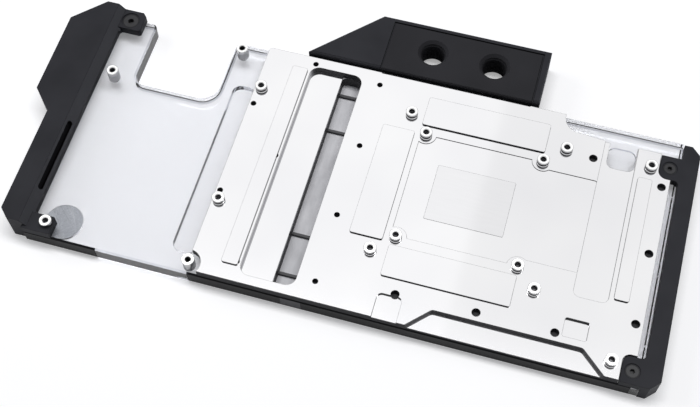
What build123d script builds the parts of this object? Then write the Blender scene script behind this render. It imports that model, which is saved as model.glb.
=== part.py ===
from build123d import *
import os

os.makedirs("parts", exist_ok=True)

# Water block for a graphics card, lying with the side that faces the card upwards.
# Origin: centre of the face that touches the processor. +X along the block, towards the short
# bracket, +Y towards the terminal, +Z towards the card. Millimetres.

# Heights
pocket_drop = 0.3
core_rise = 0.1
plate_top = pocket_drop - core_rise
plate_t = 4.0
acrylic_t = 8.0
acrylic_top_z = plate_top - plate_t
acrylic_bottom = acrylic_top_z - acrylic_t
post_h = 2.5
pad_rise = 0.8
terminal_top = plate_top + post_h

# Outlines: the acrylic shows a narrow rim round the plate on three sides
plate_x = (-108.9, 82.3)
plate_y = (-65.1, 53.8)
rim_near = 0.4
rim_far = 1.2
rim_right = 3.6
acrylic_x = (-184.7, plate_x[1] + rim_right)
acrylic_y = (plate_y[0] - rim_near, plate_y[1] + rim_far)
acrylic_chamfer = 0.8
fit_gap = 0.1
past = 5.0

# Screw squares round the processor, and the other threaded posts
core_square = 53.34
outer_square = 71.12
plate_posts = [(-105.9, 31.1), (-106.0, -29.6), (73.1, 36.4), (72.2, -58.1)]
acrylic_posts = [(-175.1, 20.9), (-120.8, 48.5), (-108.7, -61.6)]
ear_post = (-174.7, -60.4)
post_r = 2.75
post_break = 0.2
post_bore_r = 1.25
mouth_break = 0.3
short_bore = 2.3
tall_bore = 5.0
spigot_r = 2.0
spigot_l = 2.5
land_r = 4.8
bite_centre = (-109.5, -62.0)
bite_r = 6.1

# Screws that clamp the plate to the acrylic
small_screw_r = 1.25
small_screws = [
    (-85.4, 50.2), (-53.7, 46.9), (-53.9, 13.1),
    (-106.8, 22.0), (-106.9, -25.0), (-88.7, -1.6),
    (-53.9, -23.1), (-53.9, -56.0), (-88.8, -56.0),
]
large_screw_r = 1.85
large_screws = [
    (-19.9, -52.8), (14.6, -51.8), (47.8, -51.9), (47.8, 34.2),
    (79.1, -5.9), (79.1, -39.3), (79.1, 27.6),
]
thread_clearance = 0.4
head_clearance = 0.25
screw_recess = 2.8
head_depth = 3.2
head_h = 3.0

# Steps, notches and pockets of the plate
far_step = [(32.0, 46.3), (51.5, 44.6)]
far_step_r = 7.0
near_notch_d = 2.6
near_notch_y = -55.5
near_notch_x = (-3.3, 60.2)
near_notch_spread = (11.4, 12.7)
near_notch_r = 2.5
bridge_notch_x = (53.8, 66.1)
bridge_notch_y = 31.9
bridge_notch_r = 3.2
bridge_pocket_d = 0.9
long_recess_x = (51.5, 66.4)
long_recess_y = -33.5
long_recess_d = 0.9
corner_pocket_x = (50.7, 61.0)
corner_pocket_y = (-52.5, -43.9)
corner_pocket_d = 1.3
edge_pocket_x = (-27.1, -16.3)
edge_pocket_y = -53.7
edge_pocket_d = 1.0
processor_pocket = [((-29.0, 24.0), (-26.2, 26.5)), ((20.0, 51.6), (-22.7, 23.2))]
core_x = (-17.4, 17.6)
core_y = (-14.7, 12.9)

# Raised pads: two rows of memory beside the processor, one at its left, two power stages
memory_pad_y = (31.1, 46.0)
far_pad_x = (-29.7, 26.5)
near_pad_x = (-28.3, 27.4)
left_pad = ((-46.5, -31.8), (-29.8, 26.6))
right_pad = ((68.4, 74.7), (-30.8, 29.7))
coil_pad = ((-95.3, -88.0), (-57.9, 46.4))
pad_corner_r = 1.0

# Slot over the coils: a thin floor on the left, open into the acrylic on the right
slot_x = (-86.8, -62.0)
slot_y = (-61.0, 48.9)
slot_corner_r = 4.5
slot_d = 2.8
step_x = -71.8
recess_d = 9.5
recess_floor = plate_top - recess_d
recess_corner_r = 2.0
rib_centre_y = -5.5
rib_offsets = [-47.2, -27.5, 27.5, 47.2]
rib_t = 1.2
rib_h = 1.5

# Fins and water channels
fin_pitch = 1.0
fin_gap = 0.5
fin_depth = 2.4
fin_count = 27
fin_l = 36.0
jet_t = 0.8
jet_half = 15.0
jet_slot = (22.0, 2.0)
plenum = (24.0, 8.0)
channel_w = 6.0
channel_r = 2.9
channel_d = 4.4
ring_x = 18.4
ring_y = (-22.0, 11.5)
channel_far_y = 40.0
passage_r = 1.8
passage_lap = 4.0
passage_z = acrylic_bottom + acrylic_t / 2
seal_w = 2.0
seal_d = 1.5
seal_x = (-46.0, 42.0)
seal_y = (-42.0, 43.0)
seal_corner_r = 7.0

# Terminal: a block as thick as the whole part, fixed to the acrylic's far side
port_x = (-34.1, -4.9)
port_y = 69.0
port_r = 5.9
port_mouth_r = 7.2
port_seal_r = (2.2, 3.1)
port_seal_t = 0.8
body_x = (-54.9, 15.3)
body_y = (acrylic_y[1], 80.9)
groove_w = 0.8
groove_d = 0.8
cover_end_x = 19.1
cover_far_y = 83.9
cover_break = 0.7
slant_start_x = -90.3
slant_end_x = -61.4
terminal_screw_inset = 8.0
terminal_screw_r = 1.65
terminal_head_r = 3.3
terminal_head_h = 4.0
terminal_head_seat_y = body_y[1] - terminal_head_h - 0.3
terminal_thread_l = 8.0

# Connector notch in the acrylic, and the milled recess beside the plate's left edge
notch_x = (-166.2, -125.9)
notch_y = 20.8
notch_inner_r = (5.0, 9.0)
notch_mouth_r = 2.5
side_recess_x = (-119.5, plate_x[0] + 0.3)
side_recess_y = (-56.0, 32.1)
side_recess_d = 3.0
side_recess_r = 4.0

# Left cover
rail_top = plate_top + 3.2
ear_top = plate_top
lip_z = plate_top - 1.0
rail_lip_x = -181.8
rail_inner_x = -185.3
rail_outer_x = -195.3
rail_tip_x = -191.0
bulge_x = -204.8
bulge_y = (2.0, 43.4)
bulge_foot_y = -8.0
cover_y = (acrylic_y[0] + 1.3, 56.9)
rail_corner = 4.2
ear_x = -171.5
far_ear_y = 46.2
near_ear_y = -57.0
ear_break = 0.8
ear_corner = 1.8
ear_root_r = 1.6
far_ear_screw = (-177.9, 51.2)
ear_screw_r = 1.65
ear_screw_head_r = 3.8
ear_screw_l = 9.0
head_step = 0.5
tapped_depth = 6.0
light_slot_l = 36.3
light_slot_w = 2.5
light_slot_y = -28.0
light_slot_d = 2.6
light_strip_t = 1.0

# Right frame
frame_top = plate_top - 0.5
frame_w = 7.5
frame_x = (acrylic_x[1], acrylic_x[1] + frame_w)
frame_y = (acrylic_y[0], 51.9)
frame_chamfer = 4.0
lug_x = 76.9
far_lug_y = (32.5, 44.3)
near_lug_y = (acrylic_y[0], -53.5)
far_lug_r = 3.5
near_lug_r = 3.0
lug_root_r = 2.0
lug_gap = 0.4
frame_screws = [(81.3, 38.4), (81.4, -59.7)]
frame_screw_r = 1.25
frame_screw_head_r = 2.8
frame_screw_l = 8.0
frame_head_step = 0.4

# Blank badge disc in the acrylic's far face
badge_centre = (-170.8, -54.5)
badge_r = 8.4
badge_t = 1.2


def square_corners(side):
    half = side / 2
    return [(-half, -half), (-half, half), (half, half), (half, -half)]


short_posts = square_corners(core_square) + square_corners(outer_square) + plate_posts
ports = [(x, port_y) for x in port_x]
terminal_screws = [
    (x, passage_z)
    for x in (body_x[0] + terminal_screw_inset, sum(port_x) / 2, body_x[1] - terminal_screw_inset)
]


def box(x, y, radius=0.0, mode=Mode.ADD):
    """Rectangle between two x and two y values, with rounded corners if a radius is given."""
    with Locations(((x[0] + x[1]) / 2, (y[0] + y[1]) / 2)):
        if radius:
            RectangleRounded(x[1] - x[0], y[1] - y[0], radius, mode=mode)
        else:
            Rectangle(x[1] - x[0], y[1] - y[0], mode=mode)


def around(centre, width):
    """Two values at equal distances on both sides of a centre."""
    return (centre - width / 2, centre + width / 2)


def widened(pair, by):
    """A pair of values moved apart by the same distance each."""
    return (pair[0] - by, pair[1] + by)


def corner(profile, x, y):
    """The corner of a profile nearest to a point."""
    return profile.vertices().sort_by_distance((x, y, 0))[0]


# Cold plate, milled from one copper slab
with BuildPart() as cold_plate:
    with BuildSketch(Plane.XY.offset(acrylic_top_z)):
        box(plate_x, plate_y)
    extrude(amount=plate_t)
    fillet(cold_plate.edges().filter_by(Axis.Z).sort_by_distance((plate_x[0], plate_y[1], 0))[0], 1.5)

    # Step in the far edge that leaves the acrylic bare beside the terminal
    with BuildSketch(Plane.XY.offset(acrylic_top_z)) as step_profile:
        with BuildLine():
            Polyline(
                (far_step[0][0], plate_y[1] + past), far_step[0], far_step[1],
                (plate_x[1] + past, far_step[1][1]), (plate_x[1] + past, plate_y[1] + past), close=True,
            )
        make_face()
        fillet(corner(step_profile, *far_step[0]), far_step_r)
    extrude(amount=plate_t, mode=Mode.SUBTRACT)

    # Recesses at the right-hand end for the lugs of the frame
    with BuildSketch(Plane.XY.offset(acrylic_top_z)) as far_lug_cut:
        box((lug_x - lug_gap, plate_x[1] + past), (far_lug_y[0] - lug_gap, plate_y[1] + past))
        fillet(corner(far_lug_cut, lug_x - lug_gap, far_lug_y[0] - lug_gap), far_lug_r + lug_gap)
    extrude(amount=plate_t, mode=Mode.SUBTRACT)
    with BuildSketch(Plane.XY.offset(acrylic_top_z)) as near_lug_cut:
        box((lug_x - lug_gap, plate_x[1] + past), (plate_y[0] - past, near_lug_y[1] + lug_gap))
        fillet(corner(near_lug_cut, lug_x - lug_gap, near_lug_y[1] + lug_gap), near_lug_r + lug_gap)
    extrude(amount=plate_t, mode=Mode.SUBTRACT)

    # Wide step with slanted ends, milled half-way down in the near edge
    with BuildSketch(Plane.XY.offset(plate_top)) as near_notch:
        with BuildLine():
            Polyline(
                (near_notch_x[0] - near_notch_spread[0], plate_y[0] - 2.0), (near_notch_x[0], near_notch_y),
                (near_notch_x[1], near_notch_y), (near_notch_x[1] + near_notch_spread[1], plate_y[0] - 2.0),
                close=True,
            )
        make_face()
        fillet([corner(near_notch, x, near_notch_y) for x in near_notch_x], near_notch_r)
    extrude(amount=-near_notch_d, mode=Mode.SUBTRACT)

    # Small notch in the far edge, and the round bite that clears the near tall post
    with BuildSketch(Plane.XY.offset(acrylic_top_z)):
        box(bridge_notch_x, (bridge_notch_y, plate_y[1]), bridge_notch_r)
        with Locations(bite_centre):
            Circle(bite_r)
    extrude(amount=plate_t, mode=Mode.SUBTRACT)

    # Long shallow recess along the right-hand side
    with BuildSketch(Plane.XY.offset(plate_top)) as long_recess:
        box(long_recess_x, (long_recess_y, plate_y[1]))
        fillet([corner(long_recess, x, long_recess_y) for x in long_recess_x], 3.0)
    extrude(amount=-long_recess_d, mode=Mode.SUBTRACT)

    # Processor pocket, leaving a round land at each inner post
    with BuildSketch(Plane.XY.offset(plate_top)):
        for x_range, y_range in processor_pocket:
            box(x_range, y_range, pad_corner_r)
        with Locations(*square_corners(core_square)):
            Circle(land_r, mode=Mode.SUBTRACT)
    extrude(amount=-pocket_drop, mode=Mode.SUBTRACT)
    with BuildSketch(Plane.XY.offset(-core_rise)):
        box(core_x, core_y, 0.5)
    extrude(amount=core_rise)

    # Small pockets in the top
    with BuildSketch(Plane.XY.offset(plate_top)):
        box(corner_pocket_x, corner_pocket_y, 1.0)
    extrude(amount=-corner_pocket_d, mode=Mode.SUBTRACT)
    with BuildSketch(Plane.XY.offset(plate_top)):
        box(edge_pocket_x, (plate_y[0] - past, edge_pocket_y), 2.2)
    extrude(amount=-edge_pocket_d, mode=Mode.SUBTRACT)

    # Slot over the coils, its right-hand half cut right through
    with BuildSketch(Plane.XY.offset(plate_top)):
        box(slot_x, slot_y, slot_corner_r)
    extrude(amount=-slot_d, mode=Mode.SUBTRACT)
    with BuildSketch(Plane.XY.offset(plate_top)) as open_half:
        box((step_x, slot_x[1]), slot_y)
        fillet([corner(open_half, slot_x[1], y) for y in slot_y], slot_corner_r)
    extrude(amount=-plate_t, mode=Mode.SUBTRACT)

    # Screw holes come up from below and stop under the raised pads
    with BuildSketch(Plane.XY.offset(acrylic_top_z)):
        with Locations(*small_screws):
            Circle(small_screw_r)
        with Locations(*large_screws):
            Circle(large_screw_r)
    extrude(amount=plate_t, mode=Mode.SUBTRACT)

    # Raised pads for the memory and the power stage
    with BuildSketch(Plane.XY.offset(plate_top)):
        box(far_pad_x, memory_pad_y, pad_corner_r)
        box(near_pad_x, (-memory_pad_y[1], -memory_pad_y[0]), pad_corner_r)
        for x_range, y_range in (left_pad, right_pad, coil_pad):
            box(x_range, y_range, pad_corner_r)
    extrude(amount=pad_rise)

    # Blind holes for the spigots of the posts
    with BuildSketch(Plane.XY.offset(plate_top)):
        with Locations(*short_posts):
            Circle(spigot_r)
    extrude(amount=-spigot_l, mode=Mode.SUBTRACT)

    # Fins over the jet plate, cut from below
    with BuildSketch(Plane.XY.offset(acrylic_top_z)):
        with GridLocations(1.0, fin_pitch, 1, fin_count):
            Rectangle(fin_l, fin_gap)
    extrude(amount=fin_depth, mode=Mode.SUBTRACT)
cold_plate.part.label = "cold_plate"
export_step(cold_plate.part, "parts/cold_plate.step")


def seal_ring():
    """Path of the main seal as a flat ring."""
    box(seal_x, seal_y, seal_corner_r)
    box(widened(seal_x, -seal_w), widened(seal_y, -seal_w), seal_corner_r - seal_w, Mode.SUBTRACT)


def port_rings():
    """Seals round the two water passages, as flat rings."""
    with Locations(*[(x, passage_z) for x in port_x]):
        Circle(port_seal_r[1])
        Circle(port_seal_r[0], mode=Mode.SUBTRACT)


# Clear acrylic body under the plate
with BuildPart() as acrylic_top:
    with BuildSketch(Plane.XY.offset(acrylic_bottom)):
        box(acrylic_x, acrylic_y)
    extrude(amount=acrylic_t)

    # Notch for the power connector of the card
    with BuildSketch(Plane.XY.offset(acrylic_bottom)) as notch:
        box(notch_x, (notch_y, acrylic_y[1] + past))
        for x, radius in zip(notch_x, notch_inner_r):
            fillet(corner(notch, x, notch_y), radius)
    extrude(amount=acrylic_t, mode=Mode.SUBTRACT)
    for x in notch_x:
        mouth_edges = acrylic_top.edges().filter_by(Axis.Z)
        fillet(mouth_edges.sort_by_distance((x, acrylic_y[1], acrylic_top_z))[0], notch_mouth_r)
    for face in (acrylic_top.faces().sort_by(Axis.Z)[-1], acrylic_top.faces().sort_by(Axis.Z)[0]):
        chamfer(face.outer_wire().edges(), acrylic_chamfer)

    # Milled recess beside the plate's left edge
    with BuildSketch(Plane.XY.offset(acrylic_top_z)):
        box(side_recess_x, side_recess_y, side_recess_r)
    extrude(amount=-side_recess_d, mode=Mode.SUBTRACT)

    # Deep recess under the open half of the coil slot, with its ribs
    with BuildSketch(Plane.XY.offset(acrylic_top_z)) as deep_recess:
        box((step_x, slot_x[1]), slot_y)
        fillet([corner(deep_recess, step_x, y) for y in slot_y], recess_corner_r)
        fillet([corner(deep_recess, slot_x[1], y) for y in slot_y], slot_corner_r)
    extrude(amount=recess_floor - acrylic_top_z, mode=Mode.SUBTRACT)
    with BuildSketch(Plane.XY.offset(recess_floor)):
        for offset_y in rib_offsets:
            box((step_x, slot_x[1]), around(rib_centre_y + offset_y, rib_t))
    extrude(amount=rib_h)

    # Shallow pocket under the small notch of the plate
    with BuildSketch(Plane.XY.offset(acrylic_top_z)):
        box(bridge_notch_x, (bridge_notch_y, far_step[1][1]), bridge_notch_r)
    extrude(amount=-bridge_pocket_d, mode=Mode.SUBTRACT)

    # Seat of the jet plate, the plenum under it and the channels that carry the water
    with BuildSketch(Plane.XY.offset(acrylic_top_z)):
        box(around(0.0, 2 * jet_half), around(0.0, 2 * jet_half), 2.0)
    extrude(amount=-jet_t, mode=Mode.SUBTRACT)
    with BuildSketch(Plane.XY.offset(acrylic_top_z)):
        box(around(0.0, plenum[0]), around(0.0, plenum[1]), 2.0)
        box(around(port_x[1], channel_w), (jet_half + 0.5, channel_far_y), channel_r)
    extrude(amount=-channel_d, mode=Mode.SUBTRACT)
    with BuildSketch(Plane.XY.offset(acrylic_top_z)):
        ring_ends = (ring_y[0] - channel_w / 2, ring_y[1] + channel_w / 2)
        for x in (-ring_x, ring_x):
            box(around(x, channel_w), ring_ends, channel_r)
        box(widened((-ring_x, ring_x), channel_w / 2), around(ring_y[0], channel_w), channel_r)
        outlet_x = port_x[0] - channel_w / 2
        box((outlet_x, channel_w / 2 - ring_x), around(ring_y[1], channel_w), channel_r)
        box(around(port_x[0], channel_w), (ring_y[1] - channel_w / 2, channel_far_y), channel_r)
    extrude(amount=-channel_d, mode=Mode.SUBTRACT)
    with BuildSketch(Plane.XZ.offset(-acrylic_y[1])):
        with Locations(*[(x, passage_z) for x in port_x]):
            Circle(passage_r)
    extrude(amount=acrylic_y[1] - channel_far_y + passage_lap, mode=Mode.SUBTRACT)
    with BuildSketch(Plane.XZ.offset(-(jet_half + passage_lap))):
        with Locations((port_x[1], passage_z)):
            Circle(passage_r)
    extrude(amount=jet_half + passage_lap, mode=Mode.SUBTRACT)

    # Groove of the main seal, and the tapped holes of the terminal in the far side
    with BuildSketch(Plane.XY.offset(acrylic_top_z)):
        seal_ring()
    extrude(amount=-seal_d, mode=Mode.SUBTRACT)
    with BuildSketch(Plane.XZ.offset(-acrylic_y[1])):
        with Locations(*terminal_screws):
            Circle(terminal_screw_r)
    extrude(amount=terminal_thread_l, mode=Mode.SUBTRACT)

    # Holes and head recesses of the clamping screws, from the far face
    with BuildSketch(Plane.XY.offset(acrylic_bottom)):
        with Locations(*small_screws):
            Circle(small_screw_r + thread_clearance)
        with Locations(*large_screws):
            Circle(large_screw_r + thread_clearance)
    extrude(amount=acrylic_t, mode=Mode.SUBTRACT)
    with BuildSketch(Plane.XY.offset(acrylic_bottom)):
        with Locations(*small_screws):
            Circle(2 * small_screw_r + head_clearance)
        with Locations(*large_screws):
            Circle(2 * large_screw_r + head_clearance)
    extrude(amount=head_depth, mode=Mode.SUBTRACT)

    # Tapped holes in the near face for the posts, the ear screw and the frame screws
    with BuildSketch(Plane.XY.offset(acrylic_top_z)):
        with Locations(*acrylic_posts, ear_post):
            Circle(spigot_r)
    extrude(amount=-spigot_l, mode=Mode.SUBTRACT)
    with BuildSketch(Plane.XY.offset(acrylic_top_z)):
        with Locations(far_ear_screw):
            Circle(ear_screw_r)
        with Locations(*frame_screws):
            Circle(frame_screw_r)
    extrude(amount=-tapped_depth, mode=Mode.SUBTRACT)

    # Seat of the badge disc
    with BuildSketch(Plane.XY.offset(acrylic_bottom)):
        with Locations(badge_centre):
            Circle(badge_r + fit_gap)
    extrude(amount=badge_t, mode=Mode.SUBTRACT)
acrylic_top.part.label = "acrylic_top"
export_step(acrylic_top.part, "parts/acrylic_top.step")

# Jet plate that spreads the incoming water over the fins
with BuildPart() as jet_plate:
    with BuildSketch(Plane.XY.offset(acrylic_top_z - jet_t)):
        box(around(0.0, 2 * jet_half), around(0.0, 2 * jet_half), 2.0)
        Rectangle(*jet_slot, mode=Mode.SUBTRACT)
    extrude(amount=jet_t)
jet_plate.part.label = "jet_plate"
export_step(jet_plate.part, "parts/jet_plate.step")

# Rubber rings round the water channels and the passages, squeezed flush in their grooves
with BuildPart() as main_seal:
    with BuildSketch(Plane.XY.offset(acrylic_top_z - seal_d)):
        seal_ring()
    extrude(amount=seal_d)
main_seal.part.label = "main_seal"
export_step(main_seal.part, "parts/main_seal.step")

with BuildPart() as port_seals:
    with BuildSketch(Plane.XZ.offset(-body_y[0])):
        port_rings()
    extrude(amount=-port_seal_t)
port_seals.part.label = "port_seals"
export_step(port_seals.part, "parts/port_seals.step")

# Terminal body with two threaded ports right through it, open to both sides of the card
with BuildPart() as terminal_body:
    with BuildSketch(Plane.XY.offset(acrylic_bottom)):
        box(body_x, body_y)
        with Locations(*ports):
            Circle(port_r, mode=Mode.SUBTRACT)
    extrude(amount=terminal_top - acrylic_bottom)
    for face in (terminal_body.faces().sort_by(Axis.Z)[-1], terminal_body.faces().sort_by(Axis.Z)[0]):
        chamfer(face.inner_wires().edges(), port_mouth_r - port_r)

    # Water passages from the acrylic, with the grooves of their seals
    with BuildSketch(Plane.XZ.offset(-port_y)):
        with Locations(*[(x, passage_z) for x in port_x]):
            Circle(passage_r)
    extrude(amount=port_y - body_y[0], mode=Mode.SUBTRACT)
    with BuildSketch(Plane.XZ.offset(-body_y[0])):
        port_rings()
    extrude(amount=-port_seal_t, mode=Mode.SUBTRACT)

    # Holes for the screws, with room for the heads in the far side
    with BuildSketch(Plane.XZ.offset(-body_y[1])):
        with Locations(*terminal_screws):
            Circle(terminal_screw_r + thread_clearance)
    extrude(amount=body_y[1] - body_y[0], mode=Mode.SUBTRACT)
    with BuildSketch(Plane.XZ.offset(-body_y[1])):
        with Locations(*terminal_screws):
            Circle(terminal_head_r + head_clearance)
    extrude(amount=body_y[1] - terminal_head_seat_y, mode=Mode.SUBTRACT)
terminal_body.part.label = "terminal_body"
export_step(terminal_body.part, "parts/terminal_body.step")

# Cover round the terminal body, slanted at its left-hand end, with a groove round the body
with BuildPart() as terminal_cover:
    with BuildSketch(Plane.XY.offset(acrylic_bottom)):
        with BuildLine():
            Polyline(
                (slant_start_x, body_y[0]), (slant_end_x, cover_far_y), (cover_end_x, cover_far_y),
                (cover_end_x, body_y[0]), close=True,
            )
        make_face()
    extrude(amount=terminal_top - acrylic_bottom)
    chamfer(terminal_cover.faces().sort_by(Axis.Z)[-1].edges(), cover_break)
    with BuildSketch(Plane.XY.offset(acrylic_bottom)):
        box(widened(body_x, fit_gap), (body_y[0] - past, body_y[1] + fit_gap))
    extrude(amount=terminal_top - acrylic_bottom, mode=Mode.SUBTRACT)
    with BuildSketch(Plane.XY.offset(terminal_top)):
        box(widened(body_x, groove_w), (body_y[0] - past, body_y[1] + groove_w))
    extrude(amount=-groove_d, mode=Mode.SUBTRACT)
terminal_cover.part.label = "terminal_cover"
export_step(terminal_cover.part, "parts/terminal_cover.step")

# Left cover: a rail against the acrylic's end, with a lip and two ears over its face
with BuildPart() as left_cover:
    with BuildSketch(Plane.XY.offset(acrylic_bottom)):
        with BuildLine():
            Polyline(
                (rail_tip_x, cover_y[1]), (bulge_x, bulge_y[1]), (bulge_x, bulge_y[0]),
                (rail_outer_x, bulge_foot_y), (rail_outer_x, cover_y[0] + rail_corner),
                (rail_outer_x + rail_corner, cover_y[0]), (rail_lip_x, cover_y[0]),
                (rail_lip_x, cover_y[1]), close=True,
            )
        make_face()
    extrude(amount=rail_top - acrylic_bottom)
    with BuildSketch(Plane.XY.offset(acrylic_bottom)):
        box((acrylic_x[0], rail_lip_x + past), widened(cover_y, past))
    extrude(amount=acrylic_t, mode=Mode.SUBTRACT)
    with BuildSketch(Plane.XZ.offset(-cover_y[1] - past)):
        with BuildLine():
            Polyline(
                (rail_inner_x, rail_top), (rail_lip_x, lip_z), (rail_lip_x + past, lip_z),
                (rail_lip_x + past, rail_top + past), (rail_inner_x, rail_top + past), close=True,
            )
        make_face()
    extrude(amount=cover_y[1] - cover_y[0] + 2 * past, mode=Mode.SUBTRACT)
    with BuildSketch(Plane.XY.offset(acrylic_top_z)) as ears:
        box((acrylic_x[0], ear_x), (far_ear_y, cover_y[1]))
        box((acrylic_x[0], ear_x), (acrylic_y[0], near_ear_y))
        chamfer([corner(ears, ear_x, y) for y in (far_ear_y, near_ear_y)], ear_break)
        chamfer(corner(ears, ear_x, cover_y[1]), ear_corner)
        with Locations(ear_post):
            Circle(spigot_r, mode=Mode.SUBTRACT)
        with Locations(far_ear_screw):
            Circle(ear_screw_r, mode=Mode.SUBTRACT)
    extrude(amount=ear_top - acrylic_top_z)
    ear_roots = left_cover.edges().filter_by(Axis.Z)
    fillet(
        [ear_roots.sort_by_distance((rail_lip_x, y, ear_top))[0] for y in (far_ear_y, near_ear_y)],
        ear_root_r,
    )
    with BuildSketch(Plane.XY.offset(ear_top)):
        with Locations(far_ear_screw):
            Circle(ear_screw_head_r + head_step)
    extrude(amount=-head_step, mode=Mode.SUBTRACT)
    with BuildSketch(Plane.XY.offset(ear_top - head_step)):
        with Locations(far_ear_screw):
            Circle(ear_screw_head_r)
    extrude(amount=-(ear_screw_head_r - ear_screw_r), taper=45, mode=Mode.SUBTRACT)

    # Rounded slot for the light board, square to the sloping face
    slope = Plane(
        origin=((rail_inner_x + rail_lip_x) / 2, light_slot_y, (rail_top + lip_z) / 2),
        x_dir=(0, 1, 0),
        z_dir=(rail_top - lip_z, 0, rail_lip_x - rail_inner_x),
    )
    with BuildSketch(slope):
        SlotOverall(light_slot_l, light_slot_w)
    extrude(amount=-light_slot_d, mode=Mode.SUBTRACT)
left_cover.part.label = "left_cover"
export_step(left_cover.part, "parts/left_cover.step")

# Light board on the bottom of the slot
with BuildPart() as light_strip:
    with BuildSketch(slope.offset(-light_slot_d)):
        SlotOverall(light_slot_l, light_slot_w)
    extrude(amount=light_strip_t)
light_strip.part.label = "light_strip"
export_step(light_strip.part, "parts/light_strip.step")

# Right frame: a bar against the acrylic's end with two lugs over its face
with BuildPart() as right_frame:
    with BuildSketch(Plane.XY.offset(acrylic_bottom)) as bar:
        box(frame_x, frame_y)
        chamfer([corner(bar, frame_x[1], y) for y in frame_y], frame_chamfer)
    extrude(amount=frame_top - acrylic_bottom)
    with BuildSketch(Plane.XY.offset(acrylic_top_z)) as lugs:
        box((lug_x, frame_x[0]), far_lug_y)
        box((lug_x, frame_x[0]), near_lug_y)
        fillet(corner(lugs, lug_x, far_lug_y[0]), far_lug_r)
        fillet(corner(lugs, lug_x, near_lug_y[1]), near_lug_r)
        with Locations(*frame_screws):
            Circle(frame_screw_r, mode=Mode.SUBTRACT)
    extrude(amount=frame_top - acrylic_top_z)
    lug_roots = right_frame.edges().filter_by(Axis.Z)
    fillet(
        [
            lug_roots.sort_by_distance((frame_x[0], y, frame_top))[0]
            for y in (far_lug_y[0], near_lug_y[1])
        ],
        lug_root_r,
    )
    with BuildSketch(Plane.XY.offset(frame_top)):
        with Locations(*frame_screws):
            Circle(frame_screw_head_r + head_step)
    extrude(amount=-frame_head_step, mode=Mode.SUBTRACT)
    with BuildSketch(Plane.XY.offset(frame_top - frame_head_step)):
        with Locations(*frame_screws):
            Circle(frame_screw_head_r)
    extrude(amount=-(frame_screw_head_r - frame_screw_r), taper=45, mode=Mode.SUBTRACT)
right_frame.part.label = "right_frame"
export_step(right_frame.part, "parts/right_frame.step")


def make_posts(points, base, bore, spigot):
    """Threaded posts: a round body up to the card, a tapped bore, and a spigot that holds it."""
    top = plate_top + post_h
    with BuildPart() as posts:
        with BuildSketch(Plane.XY.offset(base)):
            with Locations(*points):
                Circle(post_r)
        extrude(amount=top - base)
        chamfer(posts.edges().filter_by(GeomType.CIRCLE).group_by(Axis.Z)[-1], post_break)
        with BuildSketch(Plane.XY.offset(base)):
            with Locations(*points):
                Circle(spigot_r)
        extrude(amount=-spigot)
        with BuildSketch(Plane.XY.offset(top)):
            with Locations(*points):
                Circle(post_bore_r)
        extrude(amount=-bore, mode=Mode.SUBTRACT)
        rims = posts.edges().filter_by(GeomType.CIRCLE).group_by(Axis.Z)[-1]
        chamfer([rim for rim in rims if rim.radius < post_r / 2], mouth_break)
    return posts


short_standoffs = make_posts(short_posts, plate_top, short_bore, spigot_l)
short_standoffs.part.label = "short_standoffs"
export_step(short_standoffs.part, "parts/short_standoffs.step")

tall_standoffs = make_posts(acrylic_posts, acrylic_top_z, tall_bore, spigot_l)
tall_standoffs.part.label = "tall_standoffs"
export_step(tall_standoffs.part, "parts/tall_standoffs.step")

ear_standoff = make_posts([ear_post], ear_top, short_bore, ear_top - acrylic_top_z + spigot_l)
ear_standoff.part.label = "ear_standoff"
export_step(ear_standoff.part, "parts/ear_standoff.step")


def make_flat_screws(points, face_z, up, head_r, shank_r, length, socket_r):
    """Flat-headed screws with a hexagon socket. up is 1 if the head faces up, else -1."""
    with BuildPart() as screws:
        with BuildSketch(Plane.XY.offset(face_z)):
            with Locations(*points):
                Circle(head_r)
        extrude(amount=-up * (head_r - shank_r), taper=45)
        with BuildSketch(Plane.XY.offset(face_z)):
            with Locations(*points):
                Circle(shank_r)
        extrude(amount=-up * length)
        with BuildSketch(Plane.XY.offset(face_z)):
            with Locations(*points):
                RegularPolygon(socket_r, 6)
        extrude(amount=-up * (head_r - shank_r), mode=Mode.SUBTRACT)
    return screws


left_cover_screw = make_flat_screws(
    [far_ear_screw], ear_top - head_step, 1, ear_screw_head_r, ear_screw_r, ear_screw_l, 1.45
)
left_cover_screw.part.label = "left_cover_screw"
export_step(left_cover_screw.part, "parts/left_cover_screw.step")

right_frame_screws = make_flat_screws(
    frame_screws, frame_top - frame_head_step, 1, frame_screw_head_r, frame_screw_r, frame_screw_l, 1.1
)
right_frame_screws.part.label = "right_frame_screws"
export_step(right_frame_screws.part, "parts/right_frame_screws.step")

# Screws through the terminal body into the acrylic's far side, their heads under the cover
with BuildPart() as terminal_fixings:
    with BuildSketch(Plane.XZ.offset(-terminal_head_seat_y)):
        with Locations(*terminal_screws):
            Circle(terminal_screw_r)
    extrude(amount=terminal_head_seat_y - body_y[0] + terminal_thread_l)
    with BuildSketch(Plane.XZ.offset(-terminal_head_seat_y)):
        with Locations(*terminal_screws):
            Circle(terminal_head_r)
    extrude(amount=-terminal_head_h)
    with BuildSketch(Plane.XZ.offset(-(terminal_head_seat_y + terminal_head_h))):
        with Locations(*terminal_screws):
            RegularPolygon(terminal_screw_r, 6)
    extrude(amount=terminal_head_h / 2, mode=Mode.SUBTRACT)
terminal_fixings.part.label = "terminal_screws"
export_step(terminal_fixings.part, "parts/terminal_screws.step")


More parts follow.
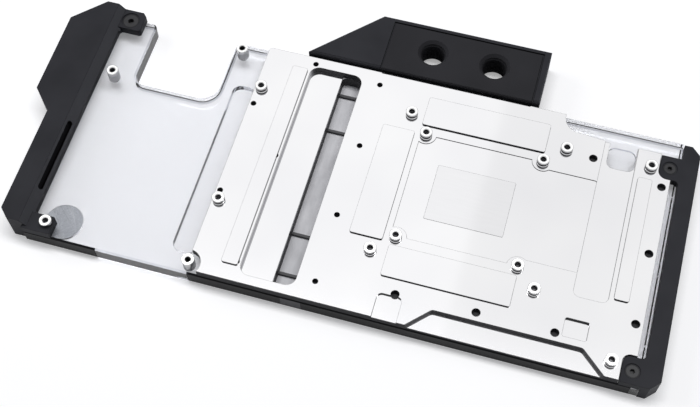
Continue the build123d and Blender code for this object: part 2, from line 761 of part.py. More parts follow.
def make_clamp_screws(points, shank_r):
    """Socket-headed screws from the far face, ending well below the top of the plate."""
    head_seat = acrylic_bottom + head_depth
    with BuildPart() as screws:
        with BuildSketch(Plane.XY.offset(head_seat)):
            with Locations(*points):
                Circle(2 * shank_r)
        extrude(amount=-head_h)
        with BuildSketch(Plane.XY.offset(head_seat)):
            with Locations(*points):
                Circle(shank_r)
        extrude(amount=plate_top - screw_recess - head_seat)
        with BuildSketch(Plane.XY.offset(head_seat - head_h)):
            with Locations(*points):
                RegularPolygon(shank_r, 6)
        extrude(amount=head_h / 2, mode=Mode.SUBTRACT)
    return screws


small_clamp_screws = make_clamp_screws(small_screws, small_screw_r)
small_clamp_screws.part.label = "small_clamp_screws"
export_step(small_clamp_screws.part, "parts/small_clamp_screws.step")

large_clamp_screws = make_clamp_screws(large_screws, large_screw_r)
large_clamp_screws.part.label = "large_clamp_screws"
export_step(large_clamp_screws.part, "parts/large_clamp_screws.step")

# Badge disc, blank, flush in the acrylic's far face
with BuildPart() as badge_disc:
    with BuildSketch(Plane.XY.offset(acrylic_bottom)):
        with Locations(badge_centre):
            Circle(badge_r)
    extrude(amount=badge_t)
badge_disc.part.label = "badge_disc"
export_step(badge_disc.part, "parts/badge_disc.step")
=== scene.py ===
import math

import bmesh
import bpy
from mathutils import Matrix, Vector


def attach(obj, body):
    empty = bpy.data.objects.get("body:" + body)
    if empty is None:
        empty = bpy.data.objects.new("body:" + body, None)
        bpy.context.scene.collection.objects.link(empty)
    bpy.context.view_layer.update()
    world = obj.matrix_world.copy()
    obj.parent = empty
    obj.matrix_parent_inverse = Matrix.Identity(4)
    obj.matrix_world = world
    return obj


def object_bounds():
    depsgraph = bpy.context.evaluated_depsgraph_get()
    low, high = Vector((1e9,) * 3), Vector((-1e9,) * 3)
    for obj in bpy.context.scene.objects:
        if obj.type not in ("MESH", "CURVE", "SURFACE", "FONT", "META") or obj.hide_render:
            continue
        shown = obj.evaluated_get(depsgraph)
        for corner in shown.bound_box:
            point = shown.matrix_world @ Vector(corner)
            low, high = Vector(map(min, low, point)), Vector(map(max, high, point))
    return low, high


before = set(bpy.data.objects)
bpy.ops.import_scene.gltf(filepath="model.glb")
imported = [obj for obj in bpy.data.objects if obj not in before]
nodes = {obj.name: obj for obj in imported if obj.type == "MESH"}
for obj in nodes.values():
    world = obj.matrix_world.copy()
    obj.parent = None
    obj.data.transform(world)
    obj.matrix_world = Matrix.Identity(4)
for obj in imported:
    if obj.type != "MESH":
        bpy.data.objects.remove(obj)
cad_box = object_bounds()

# Camera
# Close product view from above the near edge, a little to the right of the middle, with a
# slightly long lens.
camera_place = (0.026592, -0.254611, 0.46552)
camera_turn = (28.2596, 1.0056, 15.9392)
camera_data = bpy.data.cameras.new("camera")
camera_data.sensor_width = 36.0
camera_data.lens = 62.30
camera = bpy.data.objects.new("camera", camera_data)
bpy.context.scene.collection.objects.link(camera)
camera.location = camera_place
camera.rotation_euler = [math.radians(angle) for angle in camera_turn]
bpy.context.scene.camera = camera
bpy.context.scene.view_settings.view_transform = "Standard"


# Floor
# Wide sheet of pale paper that the block lies on, a hair below the acrylic's far face. It
# shows white where nothing shades it, and keeps the soft shadow round the block.
floor_gap = 0.00005
floor_half = 3.0
floor_z = cad_box[0][2] - floor_gap
floor_corners = ((-1, -1), (1, -1), (1, 1), (-1, 1))
paper_tone = (0.86, 0.86, 0.87, 1.0)
paper_glow = 0.35


def new_finish(name):
    """Empty material, with its nodes and its output."""
    finish = bpy.data.materials.new(name)
    finish.use_nodes = True
    finish.node_tree.nodes.clear()
    output = finish.node_tree.nodes.new("ShaderNodeOutputMaterial")
    return finish, finish.node_tree, output


def seen_share(tree):
    """1 for what is looked at, mirrored or seen through the acrylic, and 0 for what only lights."""
    path = tree.nodes.new("ShaderNodeLightPath")
    direct = tree.nodes.new("ShaderNodeMath")
    direct.operation = "MAXIMUM"
    share = tree.nodes.new("ShaderNodeMath")
    share.operation = "MAXIMUM"
    tree.links.new(path.outputs["Is Camera Ray"], direct.inputs[0])
    tree.links.new(path.outputs["Is Glossy Ray"], direct.inputs[1])
    tree.links.new(direct.outputs[0], share.inputs[0])
    tree.links.new(path.outputs["Is Transmission Ray"], share.inputs[1])
    return share.outputs[0]


floor_mesh = bpy.data.meshes.new("floor")
floor_mesh.from_pydata(
    [(x * floor_half, y * floor_half, floor_z) for x, y in floor_corners], [], [(0, 1, 2, 3)]
)
floor = bpy.data.objects.new("floor", floor_mesh)
bpy.context.scene.collection.objects.link(floor)
floor_paper, tree, output = new_finish("floor_paper")
paper = tree.nodes.new("ShaderNodeBsdfDiffuse")
paper.inputs["Color"].default_value = paper_tone
glow = tree.nodes.new("ShaderNodeEmission")
strength = tree.nodes.new("ShaderNodeMath")
strength.operation = "MULTIPLY"
strength.inputs[1].default_value = paper_glow
paper_and_glow = tree.nodes.new("ShaderNodeAddShader")
tree.links.new(seen_share(tree), strength.inputs[0])
tree.links.new(strength.outputs[0], glow.inputs["Strength"])
tree.links.new(paper.outputs[0], paper_and_glow.inputs[0])
tree.links.new(glow.outputs[0], paper_and_glow.inputs[1])
tree.links.new(paper_and_glow.outputs[0], output.inputs["Surface"])
floor_mesh.materials.append(floor_paper)


# Lights
# Three soft panels: a strong one overhead, one at the left and a faint one past the far side.
# The room gives little light, but it looks white by itself, in polished metal and through
# the acrylic.
room_air_tone = (0.85, 0.88, 1.0, 1.0)
room_air_strength = 0.12
room_wall_tone = (1.0, 1.0, 1.0, 1.0)
room_wall_strength = 1.0


def add_panel(name, place, aim, size, brightness):
    """Rectangular soft light at a place, turned towards a point, of a given brightness."""
    data = bpy.data.lights.new(name, "AREA")
    data.shape = "RECTANGLE"
    data.size, data.size_y = size
    data.energy = brightness * math.pi * size[0] * size[1]
    panel = bpy.data.objects.new(name, data)
    bpy.context.scene.collection.objects.link(panel)
    panel.location = place
    panel.rotation_euler = (Vector(aim) - Vector(place)).to_track_quat("-Z", "Y").to_euler()


def surface_between(tree, share, first, second):
    """Surface mixed from a first to a second."""
    mixer = tree.nodes.new("ShaderNodeMixShader")
    tree.links.new(share, mixer.inputs["Fac"])
    tree.links.new(first, mixer.inputs[1])
    tree.links.new(second, mixer.inputs[2])
    return mixer.outputs[0]


add_panel("far_panel", (-0.5, 0.6, 1.1), (-0.5, 0.6, 0.0), (0.9, 0.66), 0.1)
add_panel("top_panel", (0.0, 0.23, 1.3), (0.0, 0.23, 0.0), (1.1, 0.34), 9.9)
add_panel("left_panel", (-1.2, 0.1, 0.8), (0.0, 0.0, 0.0), (0.8, 0.6), 2.5)
room = bpy.data.worlds.new("room")
room.use_nodes = True
tree = room.node_tree
room_air = tree.nodes["Background"]
room_air.inputs["Color"].default_value = room_air_tone
room_air.inputs["Strength"].default_value = room_air_strength
room_walls = tree.nodes.new("ShaderNodeBackground")
room_walls.inputs["Color"].default_value = room_wall_tone
room_walls.inputs["Strength"].default_value = room_wall_strength
air_or_walls = surface_between(tree, seen_share(tree), room_air.outputs[0], room_walls.outputs[0])
tree.links.new(air_or_walls, tree.nodes["World Output"].inputs["Surface"])
bpy.context.scene.world = room


# Cold plate
# Copper slab milled with pads, pockets and slots, then nickel plated to a bright polish that
# keeps faint cutter lines. The processor contact is lapped flat, and screws from below hold
# the plate on the acrylic. Its walls carry a painted dark reflection, dull and nearly black on
# the walls facing the near side and on the pads, and its edges a painted line of shade.
nickel_tones = (0.8, 0.8, 0.82, 1.0), (0.86, 0.86, 0.87, 1.0)
lapped_tones = (0.785, 0.785, 0.8, 1.0), (0.8, 0.8, 0.815, 1.0)
contact_box = (-0.0174, -0.0147, -0.0012), (0.0176, 0.0129, 0.0012)
pads_box = (-0.12, -0.07, 0.00021), (0.09, 0.06, 0.0012)
# Painted dark reflection: walls are toned darker than the faces, nearly black where they face the near
# side and on the pads.
wall_painted_reflection_tone = (0.3, 0.3, 0.32, 1.0)
near_wall_painted_reflection_tone = (0.02, 0.02, 0.023, 1.0)
pad_wall_painted_reflection_tone = (0.015, 0.015, 0.018, 1.0)
# Painted shade: a dark line along every edge of the plate.
plate_edge_painted_shade_tone = (0.06, 0.06, 0.065, 1.0)
plate_edge_shade_width = 0.0003
# Painted dark reflection: walls facing the near side are drawn dull and nearly black instead of mirror
# bright.
painted_dark_wall_tones = (0.04, 0.04, 0.043, 1.0), (0.055, 0.055, 0.058, 1.0)
painted_dark_pad_wall_tone = (0.012, 0.012, 0.014, 1.0)


def coat(piece_name, finish):
    """Gives a piece of the frame one finish."""
    mesh = nodes[piece_name].data
    mesh.materials.clear()
    mesh.materials.append(finish)


def main_surface(tree, output, **sockets):
    """Main shader of a finish, with values set on its own sockets."""
    surface = tree.nodes.new("ShaderNodeBsdfPrincipled")
    for name, value in sockets.items():
        surface.inputs[name.replace("_", " ")].default_value = value
    tree.links.new(surface.outputs[0], output.inputs["Surface"])
    return surface


def grain(tree, scale, detail=2.0, stretch=(1.0, 1.0, 1.0)):
    """Fine grain fixed to the piece, stretched along its axes."""
    place = tree.nodes.new("ShaderNodeTexCoord")
    mapping = tree.nodes.new("ShaderNodeMapping")
    mapping.inputs["Scale"].default_value = stretch
    noise = tree.nodes.new("ShaderNodeTexNoise")
    noise.inputs["Scale"].default_value = scale
    noise.inputs["Detail"].default_value = detail
    tree.links.new(place.outputs["Object"], mapping.inputs["Vector"])
    tree.links.new(mapping.outputs["Vector"], noise.inputs["Vector"])
    return noise.outputs["Fac"]


def grained_tone(tree, value, low, high):
    """Colour between a low and a high one, by a grain's value."""
    colours = tree.nodes.new("ShaderNodeValToRGB")
    colours.color_ramp.elements[0].position = 0.3
    colours.color_ramp.elements[0].color = low
    colours.color_ramp.elements[1].position = 0.7
    colours.color_ramp.elements[1].color = high
    tree.links.new(value, colours.inputs["Fac"])
    return colours.outputs["Color"]


def facing(tree, axis, start, end, either_way=False):
    """How far a wall or face looks along an axis, 0 at start and 1 at end."""
    geometry = tree.nodes.new("ShaderNodeNewGeometry")
    parts = tree.nodes.new("ShaderNodeSeparateXYZ")
    share = tree.nodes.new("ShaderNodeMapRange")
    share.inputs["From Min"].default_value = start
    share.inputs["From Max"].default_value = end
    tree.links.new(geometry.outputs["True Normal"], parts.inputs["Vector"])
    part = parts.outputs[axis]
    if either_way:
        amount = tree.nodes.new("ShaderNodeMath")
        amount.operation = "ABSOLUTE"
        tree.links.new(part, amount.inputs[0])
        part = amount.outputs[0]
    tree.links.new(part, share.inputs["Value"])
    return share.outputs["Result"]


def tone_between(tree, share, first, second):
    """Colour mixed from a first to a second, each a socket or four numbers."""
    mixer = tree.nodes.new("ShaderNodeMix")
    mixer.data_type = "RGBA"
    tree.links.new(share, mixer.inputs["Factor"])
    for socket, colour in ((mixer.inputs["A"], first), (mixer.inputs["B"], second)):
        if isinstance(colour, tuple):
            socket.default_value = colour
        else:
            tree.links.new(colour, socket)
    return mixer.outputs["Result"]


def close_to_edge(tree, width):
    """1 close to a piece's edges and 0 away from them."""
    rounded = tree.nodes.new("ShaderNodeBevel")
    rounded.samples = 6
    rounded.inputs["Radius"].default_value = width
    geometry = tree.nodes.new("ShaderNodeNewGeometry")
    along = tree.nodes.new("ShaderNodeVectorMath")
    along.operation = "DOT_PRODUCT"
    share = tree.nodes.new("ShaderNodeMapRange")
    share.inputs["From Min"].default_value = 0.995
    share.inputs["From Max"].default_value = 0.85
    tree.links.new(rounded.outputs["Normal"], along.inputs[0])
    tree.links.new(geometry.outputs["True Normal"], along.inputs[1])
    tree.links.new(along.outputs["Value"], share.inputs["Value"])
    return share.outputs["Result"]


def where_both(tree, first, second):
    """Share of a surface where two shares meet, as their product."""
    product = tree.nodes.new("ShaderNodeMath")
    product.operation = "MULTIPLY"
    tree.links.new(first, product.inputs[0])
    tree.links.new(second, product.inputs[1])
    return product.outputs[0]


def inside_box(tree, low, high):
    """1 inside a box of the part's own coordinates, in metres, and 0 outside it."""
    place = tree.nodes.new("ShaderNodeTexCoord")
    parts = tree.nodes.new("ShaderNodeSeparateXYZ")
    tree.links.new(place.outputs["Object"], parts.inputs["Vector"])
    share = None
    for axis in range(3):
        inside = tree.nodes.new("ShaderNodeMath")
        inside.operation = "COMPARE"
        inside.inputs[1].default_value = (low[axis] + high[axis]) / 2
        inside.inputs[2].default_value = (high[axis] - low[axis]) / 2
        tree.links.new(parts.outputs[axis], inside.inputs[0])
        if share is None:
            share = inside.outputs[0]
        else:
            share = where_both(tree, share, inside.outputs[0])
    return share


def add_relief(tree, surface, height, distance, strength):
    """Small relief on a surface, of a given depth and strength."""
    relief = tree.nodes.new("ShaderNodeBump")
    relief.inputs["Distance"].default_value = distance
    relief.inputs["Strength"].default_value = strength
    tree.links.new(height, relief.inputs["Height"])
    tree.links.new(relief.outputs["Normal"], surface.inputs["Normal"])


nickel_plate, tree, output = new_finish("nickel_plate")
polished = main_surface(tree, output, Metallic=1.0, Roughness=0.07)
nickel_tone = grained_tone(tree, grain(tree, 18.0), *nickel_tones)
lapped_tone = grained_tone(tree, grain(tree, 700.0, 2.0, (0.1, 1.0, 1.0)), *lapped_tones)
face_tone = tone_between(tree, inside_box(tree, *contact_box), nickel_tone, lapped_tone)
on_pads = inside_box(tree, *pads_box)
# Painted dark reflection on the walls, darkest on near-facing walls and pad walls.
painted_wall_reflection_tone = tone_between(tree, facing(tree, "Y", -0.15, -0.8), wall_painted_reflection_tone, near_wall_painted_reflection_tone)
painted_wall_reflection_tone = tone_between(tree, on_pads, painted_wall_reflection_tone, pad_wall_painted_reflection_tone)
on_wall = facing(tree, "Z", 0.96, 0.8)
plate_tone = tone_between(tree, on_wall, face_tone, painted_wall_reflection_tone)
# Painted shade along every edge.
plate_tone_with_painted_edge_shade = tone_between(tree, close_to_edge(tree, plate_edge_shade_width), plate_tone, plate_edge_painted_shade_tone)
tree.links.new(plate_tone_with_painted_edge_shade, polished.inputs["Base Color"])
add_relief(tree, polished, grain(tree, 900.0, 2.0, (0.04, 1.0, 1.0)), 0.000002, 0.3)
# Painted dark reflection: a dull dark surface takes the place of the mirror on near-facing walls.
painted_dark_surface = main_surface(tree, output, Roughness=0.5, Specular_IOR_Level=0.05)
painted_dark_tone = grained_tone(tree, grain(tree, 300.0), *painted_dark_wall_tones)
painted_dark_tone = tone_between(tree, on_pads, painted_dark_tone, painted_dark_pad_wall_tone)
tree.links.new(painted_dark_tone, painted_dark_surface.inputs["Base Color"])
painted_dark_wall_share = where_both(tree, on_wall, facing(tree, "Y", -0.3, -0.8))
plate_surface = surface_between(tree, painted_dark_wall_share, polished.outputs[0], painted_dark_surface.outputs[0])
tree.links.new(plate_surface, output.inputs["Surface"])
coat("cold_plate", nickel_plate)


# Acrylic body
# One clear cast slab under the plate, milled and polished, with a cold tint in its depth that
# is set dark, partly as painted shade of the floor under the block. The deep recess is left
# matt from the cutter, with painted dark reflection on its ribs and walls. The near side is
# toned dark, a painted dark reflection, as the real one mirrors dark surroundings there, with a
# painted lighter patch by the recess. Walls carry painted dark reflection and edges painted
# shade, the strip by the right frame a painted shadow, and the seat over the badge painted light.
# Cold tint of the acrylic, set dark partly as painted shade of the floor under the block.
clear_tint_and_painted_shade_tones = (0.56, 0.564, 0.577, 1.0), (0.59, 0.594, 0.607, 1.0)
# Painted dark reflection on the acrylic's walls.
clear_wall_painted_reflection_tone = (0.41, 0.42, 0.46, 1.0)
# Painted shade along the acrylic's edges.
clear_edge_painted_shade_tone = (0.4, 0.41, 0.45, 1.0)
clear_edge_shade_width = 0.0004
# Painted shadow of the right frame on the acrylic strip beside it.
frame_gap_box = (0.0823, -0.0535, -0.013), (0.087, 0.0325, 0.0)
frame_gap_painted_shadow_tone = (0.66, 0.665, 0.69, 1.0)
# Painted light: the acrylic over the badge seat is lighter, standing in for light reaching the badge.
badge_seat_box = (-0.1796, -0.0633, -0.0111), (-0.162, -0.0457, -0.0101)
badge_seat_painted_light_tone = (0.73, 0.74, 0.775, 1.0)
light_through_tone = (0.8, 0.805, 0.82, 1.0)
recess_box = (-0.0735, -0.0612, -0.0096), (-0.0612, 0.0502, -0.0039)
recess_floor_tones = (0.54, 0.54, 0.565, 1.0), (0.78, 0.78, 0.81, 1.0)
# Painted dark reflection on the ribs and the walls of the deep recess.
rib_box = (-0.075, -0.0615, -0.0088), (-0.06, 0.0505, -0.0045)
rib_painted_reflection_tone = (0.05, 0.05, 0.055, 1.0)
recess_wall_painted_reflection_tone = (0.015, 0.015, 0.018, 1.0)
# Painted dark reflection on the near side, where the plate and the left cover lie above.
painted_side_tones = (0.006, 0.006, 0.007, 1.0), (0.018, 0.018, 0.02, 1.0)
side_under_plate_box = (-0.109, -0.0665, -0.0129), (0.0823, -0.06, -0.003)
side_under_cover_box = (-0.186, -0.0665, -0.0129), (-0.151, -0.06, -0.003)
# Painted light: a lighter patch on the near side by the recess.
side_at_recess_box = (-0.067, -0.0665, -0.0105), (-0.058, -0.06, -0.0045)
side_at_recess_painted_light_tone = (0.1, 0.1, 0.108, 1.0)

clear_acrylic, tree, output = new_finish("clear_acrylic")
clear = main_surface(tree, output, Roughness=0.02, IOR=1.49, Transmission_Weight=1.0)
clear_tone = grained_tone(tree, grain(tree, 8.0), *clear_tint_and_painted_shade_tones)
# Painted dark reflection on the walls.
clear_tone = tone_between(tree, facing(tree, "Z", 0.97, 0.8, True), clear_tone, clear_wall_painted_reflection_tone)
# Painted shadow of the right frame.
clear_tone = tone_between(tree, inside_box(tree, *frame_gap_box), clear_tone, frame_gap_painted_shadow_tone)
# Painted light over the badge seat.
clear_tone = tone_between(tree, inside_box(tree, *badge_seat_box), clear_tone, badge_seat_painted_light_tone)
# Painted shade along the edges.
clear_edge = close_to_edge(tree, clear_edge_shade_width)
clear_tone = tone_between(tree, clear_edge, clear_tone, clear_edge_painted_shade_tone)
tree.links.new(clear_tone, clear.inputs["Base Color"])
path = tree.nodes.new("ShaderNodeLightPath")
light_through = tree.nodes.new("ShaderNodeBsdfTransparent")
light_through.inputs["Color"].default_value = light_through_tone
lamp_ray = path.outputs["Is Shadow Ray"]
clear_body = surface_between(tree, lamp_ray, clear.outputs[0], light_through.outputs[0])

milled = main_surface(tree, output, Roughness=0.6)
milled_tone_with_painted_reflection = grained_tone(tree, grain(tree, 160.0, 4.0, (1.0, 0.35, 1.0)), *recess_floor_tones)
# Painted dark reflection on the ribs and recess walls.
milled_tone_with_painted_reflection = tone_between(tree, inside_box(tree, *rib_box), milled_tone_with_painted_reflection, rib_painted_reflection_tone)
milled_tone_with_painted_reflection = tone_between(tree, facing(tree, "Z", 0.9, 0.6), milled_tone_with_painted_reflection, recess_wall_painted_reflection_tone)
tree.links.new(milled_tone_with_painted_reflection, milled.inputs["Base Color"])
in_recess = inside_box(tree, *recess_box)
body_with_recess = surface_between(tree, in_recess, clear_body, milled.outputs[0])

# Painted dark reflection on the near side, with a painted lighter patch by the recess.
painted_side_surface = main_surface(tree, output, Roughness=0.25, Specular_IOR_Level=0.05)
painted_side_tone = grained_tone(tree, grain(tree, 25.0, 3.0, (1.0, 1.0, 6.0)), *painted_side_tones)
at_recess = inside_box(tree, *side_at_recess_box)
painted_side_tone = tone_between(tree, at_recess, painted_side_tone, side_at_recess_painted_light_tone)
tree.links.new(painted_side_tone, painted_side_surface.inputs["Base Color"])
near_side = facing(tree, "Y", -0.4, -0.7)
under_plate = where_both(tree, inside_box(tree, *side_under_plate_box), near_side)
under_cover = where_both(tree, inside_box(tree, *side_under_cover_box), near_side)
painted_dark_side = tree.nodes.new("ShaderNodeMath")
painted_dark_side.operation = "MAXIMUM"
tree.links.new(under_plate, painted_dark_side.inputs[0])
tree.links.new(under_cover, painted_dark_side.inputs[1])
acrylic_surface = surface_between(tree, painted_dark_side.outputs[0], body_with_recess, painted_side_surface.outputs[0])
tree.links.new(acrylic_surface, output.inputs["Surface"])
coat("acrylic_top", clear_acrylic)


# Black anodised pieces
# Left cover, right frame and terminal cover: milled aluminium, bead blasted to an even matt
# and anodised black. The left cover's sloping face carries a painted sheen, the walls of the
# light slot in it painted shade, nearly black, and every edge a painted line of shade.
anodised_tones = (0.028, 0.0285, 0.033, 1.0), (0.036, 0.0365, 0.042, 1.0)
# Painted sheen on the left cover's sloping face.
sloping_face_painted_sheen_tone = (0.06, 0.061, 0.068, 1.0)
# Painted shade, nearly black, on the walls of the light slot.
light_slot_box = (-0.1895, -0.0465, -0.002), (-0.1815, -0.0095, 0.00245)
light_slot_painted_shade_tone = (0.001, 0.001, 0.001, 1.0)
# Painted shade along every edge.
anodised_edge_painted_shade_tone = (0.003, 0.003, 0.003, 1.0)
anodised_edge_shade_width = 0.0003
anodised_pieces = ("left_cover", "right_frame", "terminal_cover")

black_anodised, tree, output = new_finish("black_anodised")
anodised = main_surface(tree, output, Roughness=0.45, Specular_IOR_Level=0.05)
anodised_tone_with_painted_shade_and_sheen = grained_tone(tree, grain(tree, 60.0), *anodised_tones)
# Painted sheen on the sloping face.
sloping = where_both(tree, facing(tree, "X", 0.45, 0.6), facing(tree, "Z", 0.3, 0.5))
anodised_tone_with_painted_shade_and_sheen = tone_between(tree, sloping, anodised_tone_with_painted_shade_and_sheen, sloping_face_painted_sheen_tone)
# Painted shade inside the light slot.
in_light_slot = inside_box(tree, *light_slot_box)
slot_wall = where_both(tree, in_light_slot, facing(tree, "X", 0.72, 0.68))
anodised_tone_with_painted_shade_and_sheen = tone_between(tree, slot_wall, anodised_tone_with_painted_shade_and_sheen, light_slot_painted_shade_tone)
# Painted shade along the edges.
anodised_edge = close_to_edge(tree, anodised_edge_shade_width)
anodised_tone_with_painted_shade_and_sheen = tone_between(tree, anodised_edge, anodised_tone_with_painted_shade_and_sheen, anodised_edge_painted_shade_tone)
tree.links.new(anodised_tone_with_painted_shade_and_sheen, anodised.inputs["Base Color"])
add_relief(tree, anodised, grain(tree, 2500.0), 0.00001, 0.4)
for piece_name in anodised_pieces:
    coat(piece_name, black_anodised)


# Terminal body
# Block of black acetal, sawn and milled with fine cutter marks, screwed to the far side of the
# acrylic. A pipe thread is cut in each of its two ports.
acetal_tones = (0.024, 0.024, 0.027, 1.0), (0.031, 0.031, 0.035, 1.0)
port_places = [(-0.0341, 0.069), (-0.0049, 0.069)]
port_r = 0.0059
port_thread_depth = 0.0004
port_pitch = 0.001337
port_thread_heights = (-0.0104, 0.0014)
port_thread_steps = 64

black_acetal, tree, output = new_finish("black_acetal")
acetal = main_surface(tree, output, Roughness=0.5, Specular_IOR_Level=0.05)
tree.links.new(grained_tone(tree, grain(tree, 40.0), *acetal_tones), acetal.inputs["Base Color"])
add_relief(tree, acetal, grain(tree, 1500.0, 2.0, (1.0, 0.05, 1.0)), 0.00001, 0.4)
coat("terminal_body", black_acetal)


def add_threads(name, places, bore_r, depth, pitch, heights, steps, finish):
    """Ridge of a screw thread, three-sided and closed, wound up the wall of each bore."""
    bm = bmesh.new()
    low_z, high_z = heights
    turns = (high_z - low_z) / pitch - 1.0
    count = int(turns * steps)
    half_width = 0.45 * pitch
    profile = ((bore_r, -half_width), (bore_r - depth, 0.0), (bore_r, half_width))
    for x, y in places:
        rings = []
        for step in range(count + 1):
            angle = 2 * math.pi * step / steps
            middle_z = low_z + pitch * (0.5 + step / steps)
            ring = []
            for radius, rise in profile:
                place = (x + radius * math.cos(angle), y + radius * math.sin(angle), middle_z + rise)
                ring.append(bm.verts.new(place))
            rings.append(ring)
        for near, far in zip(rings, rings[1:]):
            for side_number in range(3):
                after = (side_number + 1) % 3
                bm.faces.new((near[side_number], near[after], far[after], far[side_number]))
        bm.faces.new(reversed(rings[0]))
        bm.faces.new(rings[-1])
    bmesh.ops.recalc_face_normals(bm, faces=bm.faces)
    mesh = bpy.data.meshes.new(name)
    bm.to_mesh(mesh)
    bm.free()
    mesh.materials.append(finish)
    piece = bpy.data.objects.new(name, mesh)
    bpy.context.scene.collection.objects.link(piece)
    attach(piece, "root")


add_threads(
    "port_threads",
    port_places,
    port_r,
    port_thread_depth,
    port_pitch,
    port_thread_heights,
    port_thread_steps,
    black_acetal,
)


# Posts
# Brass posts turned with a foot, a waist and a neck under a bright ring, then nickel plated:
# twelve short ones on the plate, three tall ones on the acrylic and one on the left cover's
# near ear. Each stands on a spigot and has a fine thread in its bore. Their steps and edges
# carry painted shade, their turned sides painted reflection in three bands with a dull, nearly
# black waist on the short ones, and their threads the painted shade of the bores.
post_face_tones = (0.9, 0.9, 0.9, 1.0), (0.96, 0.96, 0.96, 1.0)
# Painted shade on the steps below the ring.
post_step_painted_shade_tone = (0.1, 0.1, 0.105, 1.0)
# Painted shade along the edges.
post_edge_painted_shade_tone = (0.12, 0.12, 0.13, 1.0)
post_edge_shade_width = 0.00025
# Painted reflection: the turned sides in bands of tone for foot, waist and neck, a nearly black waist
# on the short posts and grey sides on the tall ones.
short_side_painted_reflection_tones = (0.7, 0.7, 0.71, 1.0), (0.02, 0.02, 0.02, 1.0), (0.36, 0.36, 0.37, 1.0)
tall_side_painted_reflection_tones = (0.3, 0.3, 0.31, 1.0), (0.4, 0.4, 0.41, 1.0), (0.5, 0.5, 0.51, 1.0)
# Painted dark reflection on the short posts' waist, drawn dull.
painted_dark_waist_tones = (0.016, 0.016, 0.018, 1.0), (0.026, 0.026, 0.028, 1.0)
lowest_z = -0.02
foot_top_z = 0.0006
waist_top_z = 0.0018
ring_low_z = 0.00235
ring_high_z = 0.0028
highest_z = 0.003
core_half = 0.02667
outer_half = 0.03556
signs = (-1, 1)
short_places = [(x * half, y * half) for half in (core_half, outer_half) for x in signs for y in signs]
short_places += [(-0.1059, 0.0311), (-0.106, -0.0296), (0.0731, 0.0364), (0.0722, -0.0581)]
ear_place = (-0.1747, -0.0604)
short_places.append(ear_place)
tall_places = [(-0.1751, 0.0209), (-0.1208, 0.0485), (-0.1087, -0.0616)]
post_bore_r = 0.00125
post_thread_depth = 0.0001
post_pitch = 0.0005
short_thread_heights = (0.00045, 0.0024)
tall_thread_heights = (-0.00225, 0.0024)
post_thread_steps = 32
# Painted shade: the threads are toned dark as the shade in the bores.
thread_painted_shade_tones = (0.05, 0.05, 0.055, 1.0), (0.13, 0.13, 0.14, 1.0)


def between_heights(tree, low_z, high_z):
    """1 between two heights, anywhere on the part, and 0 above and below them."""
    return inside_box(tree, (-0.3, -0.1, low_z), (0.1, 0.1, high_z))


def post_finish(name, painted_side_tones, painted_dark_waist=False):
    """Bright nickel with painted shade on its steps and edges, and its turned side in three tones
    of painted reflection, for foot, waist and neck.

    With a painted dark waist, that part shows a dull dark tone, a painted dark reflection, and
    mirrors next to nothing.
    """
    finish, tree, output = new_finish(name)
    bright = main_surface(tree, output, Metallic=1.0, Roughness=0.2)
    face_tone = grained_tone(tree, grain(tree, 300.0), *post_face_tones)
    on_ring = between_heights(tree, ring_low_z, ring_high_z)
    # Painted shade on the steps.
    face_tone = tone_between(tree, on_ring, post_step_painted_shade_tone, face_tone)
    foot_tone, waist_tone, neck_tone = painted_side_tones
    on_foot = between_heights(tree, lowest_z, foot_top_z)
    on_neck = between_heights(tree, waist_top_z, highest_z)
    # Painted reflection in bands on the turned side.
    painted_side_tone = tone_between(tree, on_foot, waist_tone, foot_tone)
    painted_side_tone = tone_between(tree, on_neck, painted_side_tone, neck_tone)
    on_side = facing(tree, "Z", 0.9, 0.5)
    post_tone = tone_between(tree, on_side, face_tone, painted_side_tone)
    # Painted shade along the edges.
    post_edge = close_to_edge(tree, post_edge_shade_width)
    post_tone = tone_between(tree, post_edge, post_tone, post_edge_painted_shade_tone)
    tree.links.new(post_tone, bright.inputs["Base Color"])
    # Painted dark reflection: a dull dark surface on the waist.
    if painted_dark_waist:
        painted_dark_surface = main_surface(tree, output, Roughness=0.5, Specular_IOR_Level=0.05)
        painted_dark_tone = grained_tone(tree, grain(tree, 500.0), *painted_dark_waist_tones)
        tree.links.new(painted_dark_tone, painted_dark_surface.inputs["Base Color"])
        on_waist = where_both(tree, between_heights(tree, foot_top_z, waist_top_z), on_side)
        post_surface = surface_between(tree, on_waist, bright.outputs[0], painted_dark_surface.outputs[0])
        tree.links.new(post_surface, output.inputs["Surface"])
    return finish


short_nickel = post_finish("post_nickel", short_side_painted_reflection_tones, True)
tall_nickel = post_finish("post_nickel_tall", tall_side_painted_reflection_tones)
coat("short_standoffs", short_nickel)
coat("tall_standoffs", tall_nickel)
coat("ear_standoff", tall_nickel)

thread_nickel, tree, output = new_finish("thread_nickel")
thread_surface = main_surface(tree, output, Metallic=1.0, Roughness=0.35)
# Painted shade of the bores on the threads.
thread_tone = grained_tone(tree, grain(tree, 600.0), *thread_painted_shade_tones)
tree.links.new(thread_tone, thread_surface.inputs["Base Color"])
post_threads = (
    ("short_threads", short_places, short_thread_heights),
    ("tall_threads", tall_places, tall_thread_heights),
)
for name, places, heights in post_threads:
    add_threads(
        name,
        places,
        post_bore_r,
        post_thread_depth,
        post_pitch,
        heights,
        post_thread_steps,
        thread_nickel,
    )


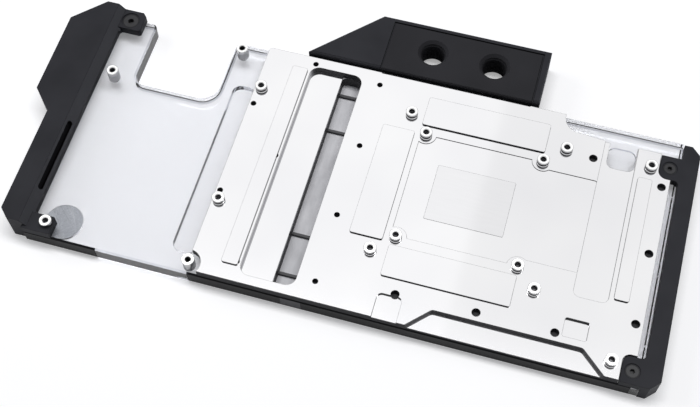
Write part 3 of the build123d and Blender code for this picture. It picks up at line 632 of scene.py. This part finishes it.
# Countersunk screws
# Blackened steel screws with a hexagon socket, one in the far ear of the left cover and two in
# the lugs of the right frame, turned into the acrylic. Their rims and socket edges carry a
# painted line of shade.
def plain_finish(name, tone, metallic, roughness, shine, grain_scale, edge_width=None):
    """Finish of one fine-grained tone, with a painted line of shade along its edges where an edge
    width is given.
    """
    finish, tree, output = new_finish(name)
    surface = main_surface(
        tree, output, Metallic=metallic, Roughness=roughness, Specular_IOR_Level=shine
    )
    darker_tone = tuple(0.85 * part for part in tone[:3]) + (1.0,)
    full_tone = grained_tone(tree, grain(tree, grain_scale), darker_tone, tone)
    if edge_width is not None:
        # Painted shade along the edges.
        painted_edge_shade = (0.002, 0.002, 0.002, 1.0)
        full_tone = tone_between(tree, close_to_edge(tree, edge_width), full_tone, painted_edge_shade)
    tree.links.new(full_tone, surface.inputs["Base Color"])
    return finish


black_steel_tone = (0.036, 0.036, 0.039, 1.0)
# Painted shade round the rims and socket edges.
screw_rim_shade_width = 0.0006
black_steel = plain_finish("black_screw", black_steel_tone, 0.0, 0.4, 0.2, 700.0, screw_rim_shade_width)
coat("left_cover_screw", black_steel)
coat("right_frame_screws", black_steel)


# Clamp screws
# Steel screws from below through the acrylic into the plate. Their ends close the small and
# the large holes of the plate, and are toned dark as painted shade of the holes.
# Painted shade: the screw ends are toned dark as the shade at the bottom of the holes.
screw_end_painted_shade_tone = (0.04, 0.04, 0.043, 1.0)
screw_steel = plain_finish("screw_steel", screw_end_painted_shade_tone, 0.0, 0.5, 0.1, 700.0)
coat("small_clamp_screws", screw_steel)
coat("large_clamp_screws", screw_steel)


# Terminal screws
# Three bright steel socket-head screws that hold the terminal body to the acrylic's far side.
# Their heads lie under the terminal cover.
terminal_steel_tone = (0.5, 0.5, 0.52, 1.0)
terminal_steel = plain_finish("terminal_steel", terminal_steel_tone, 1.0, 0.3, 0.5, 500.0)
coat("terminal_screws", terminal_steel)


# Seals
# Moulded rings of black rubber, pressed flat in their grooves: one round the water channels
# under the plate, and two between the acrylic and the terminal body.
rubber_tone = (0.02, 0.02, 0.021, 1.0)
seal_rubber = plain_finish("seal_rubber", rubber_tone, 0.0, 0.65, 0.2, 900.0)
coat("main_seal", seal_rubber)
coat("port_seals", seal_rubber)


# Jet plate
# Thin stamped steel plate with one slot that leads the water onto the fins. The acrylic holds
# it under the plate.
jet_steel_tone = (0.6, 0.6, 0.62, 1.0)
jet_steel = plain_finish("jet_steel", jet_steel_tone, 1.0, 0.3, 0.5, 300.0)
coat("jet_plate", jet_steel)


# Light board
# Narrow circuit board with a black mask, glued to the bottom of the slot in the left cover's
# sloping face.
board_tone = (0.004, 0.004, 0.005, 1.0)
light_board = plain_finish("light_board", board_tone, 0.0, 0.5, 0.05, 300.0)
coat("light_strip", light_board)


# Badge disc
# Blank round disc of pale metal, let into a seat in the acrylic's far face and seen through
# the slab. Its pale tone is made brighter as painted light, since little lamp light reaches it.
# Pale metal tone set brighter than its own, partly as painted light for the little lamp light that
# reaches the badge.
badge_tone_with_painted_light = (0.97, 0.985, 1.0, 1.0)
badge_metal = plain_finish("badge_metal", badge_tone_with_painted_light, 0.0, 0.5, 0.5, 1200.0)
coat("badge_disc", badge_metal)
